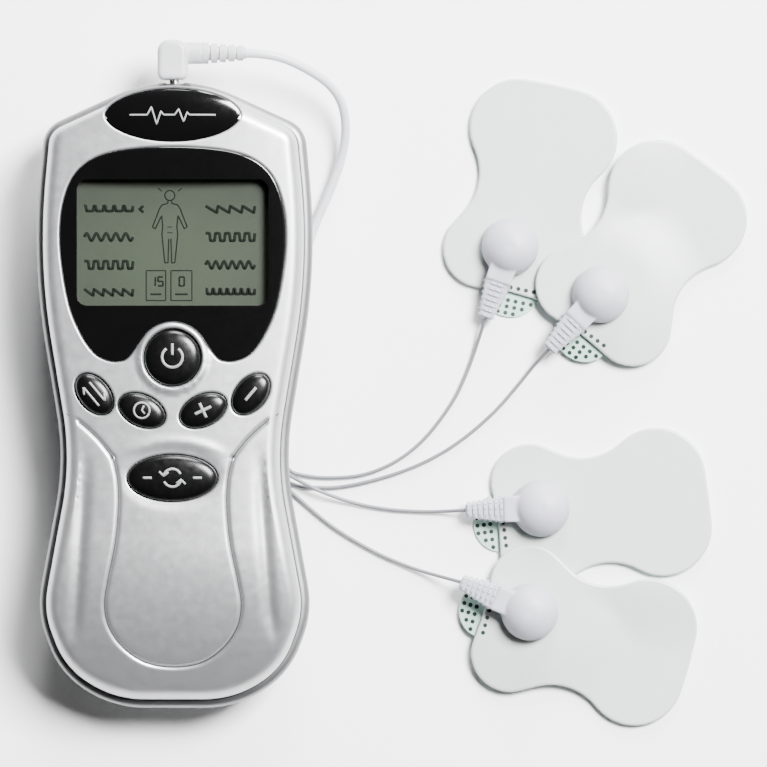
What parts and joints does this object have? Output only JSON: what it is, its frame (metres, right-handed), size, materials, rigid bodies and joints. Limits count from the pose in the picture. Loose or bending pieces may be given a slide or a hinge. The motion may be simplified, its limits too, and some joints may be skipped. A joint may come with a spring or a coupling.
{
  "type": "TENS unit with lead set",
  "caption": "Handheld nerve-stimulation unit with a display and press buttons, lying face up, its plugged-in lead set ending in snap connectors on electrode pads.",
  "frame": {"origin": "middle of the handset's flat rest face, on the surface it lies on", "axes": "+Z out of the handset's face, +Y towards the lead jack, +X to the handset's right, where the leads and pads lie"},
  "size_m": [0.1369, 0.132, 0.0245],
  "materials": {
    "silver_front": "satin silver paint",
    "silver_back": "satin silver paint",
    "gloss_black": "polished",
    "button_black": "polished",
    "window_clear": "clear",
    "lcd_grey": "smooth",
    "frame_white": "moulded",
    "strip_rubber": "smooth",
    "board_green": "solder mask",
    "jack_black": "moulded",
    "dome_steel": "bright",
    "screw_steel": "zinc",
    "contact_nickel": "nickel",
    "cell_jacket": "printed sleeve",
    "coil_amber": "taped winding",
    "can_aluminium": "satin",
    "plug_white": "moulded",
    "pin_nickel": "polished",
    "cord_white": "smooth",
    "wire_grey": "smooth",
    "connector_white": "satin",
    "socket_nickel": "polished",
    "stud_nickel": "polished",
    "pad_white": "smooth",
    "liner_mint": "dotted film"
  },
  "bodies": {
    "case": {"back_shell": "silver_back", "front_shell": "silver_front", "display_bezel": "gloss_black", "display_window": "window_clear", "lcd_panel": "lcd_grey", "lcd_frame": "frame_white", "contact_strips": "strip_rubber", "badge_plate": "gloss_black", "circuit_board": "board_green", "snap_domes": "dome_steel", "controller_chip": "jack_black", "output_transformer": "coil_amber", "capacitors": "can_aluminium", "buzzer": "jack_black", "lead_jack": "jack_black", "case_screws": "screw_steel", "board_screws": "screw_steel", "battery_cell_1": "cell_jacket", "battery_cell_2": "cell_jacket", "contact_plates": "contact_nickel", "contact_springs": "contact_nickel"},
    "battery_door": {"battery_door": "silver_back"},
    "power_button": {"power_button": "button_black"},
    "channel_button": {"channel_button": "button_black"},
    "time_button": {"time_button": "button_black"},
    "strong_button": {"strong_button": "button_black"},
    "weak_button": {"weak_button": "button_black"},
    "mode_button": {"mode_button": "button_black"},
    "lead_set": {"plug_body": "plug_white", "plug_pin": "pin_nickel", "plug_relief": "plug_white", "main_cord": "cord_white", "cord_splitter": "plug_white", "lead_wire_1": "wire_grey", "lead_wire_2": "wire_grey", "lead_wire_3": "wire_grey", "lead_wire_4": "wire_grey", "snap_connector_1": "connector_white", "snap_connector_2": "connector_white", "snap_connector_3": "connector_white", "snap_connector_4": "connector_white", "snap_sockets": "socket_nickel"},
    "pad_1": {"electrode_pad_1": "pad_white", "pad_liner_1": "liner_mint", "pad_stud_1": "stud_nickel"},
    "pad_2": {"electrode_pad_2": "pad_white", "pad_liner_2": "liner_mint", "pad_stud_2": "stud_nickel"},
    "pad_3": {"electrode_pad_3": "pad_white", "pad_liner_3": "liner_mint", "pad_stud_3": "stud_nickel"},
    "pad_4": {"electrode_pad_4": "pad_white", "pad_liner_4": "liner_mint", "pad_stud_4": "stud_nickel"}
  },
  "joints": [
    {"name": "power_press", "type": "slide", "parent": "case", "child": "power_button", "axis": [0, 0, -1], "range_m": [0, 0.0008], "stiffness_N_per_m": 600},
    {"name": "channel_press", "type": "slide", "parent": "case", "child": "channel_button", "axis": [0, 0, -1], "range_m": [0, 0.0008], "stiffness_N_per_m": 600},
    {"name": "time_press", "type": "slide", "parent": "case", "child": "time_button", "axis": [0, 0, -1], "range_m": [0, 0.0008], "stiffness_N_per_m": 600},
    {"name": "strong_press", "type": "slide", "parent": "case", "child": "strong_button", "axis": [0, 0, -1], "range_m": [0, 0.0008], "stiffness_N_per_m": 600},
    {"name": "weak_press", "type": "slide", "parent": "case", "child": "weak_button", "axis": [0, 0, -1], "range_m": [0, 0.0008], "stiffness_N_per_m": 600},
    {"name": "mode_press", "type": "slide", "parent": "case", "child": "mode_button", "axis": [0, 0, -1], "range_m": [0, 0.0008], "stiffness_N_per_m": 600},
    {"name": "door_slide", "type": "slide", "parent": "case", "child": "battery_door", "axis": [0, -1, 0], "range_m": [0, 0.04]},
    {"name": "plug_pull", "type": "slide", "parent": "case", "child": "lead_set", "axis": [0, 1, 0], "range_m": [0, 0.0115]},
    {"name": "pad_1_swivel", "type": "hinge", "parent": "lead_set", "child": "pad_1", "pos_m": [0.0645, 0.0286, 0.00125], "axis": [0, 0, 1], "range_deg": [-10, 10]},
    {"name": "pad_2_swivel", "type": "hinge", "parent": "lead_set", "child": "pad_2", "pos_m": [0.082, 0.0194, 0.0027], "axis": [0, 0, 1], "range_deg": [-10, 10]},
    {"name": "pad_3_swivel", "type": "hinge", "parent": "lead_set", "child": "pad_3", "pos_m": [0.0705, -0.0219, 0.00125], "axis": [0, 0, 1], "range_deg": [-10, 10]},
    {"name": "pad_4_swivel", "type": "hinge", "parent": "lead_set", "child": "pad_4", "pos_m": [0.0683, -0.0419, 0.0027], "axis": [0, 0, 1], "range_deg": [-10, 10]}
  ]
}
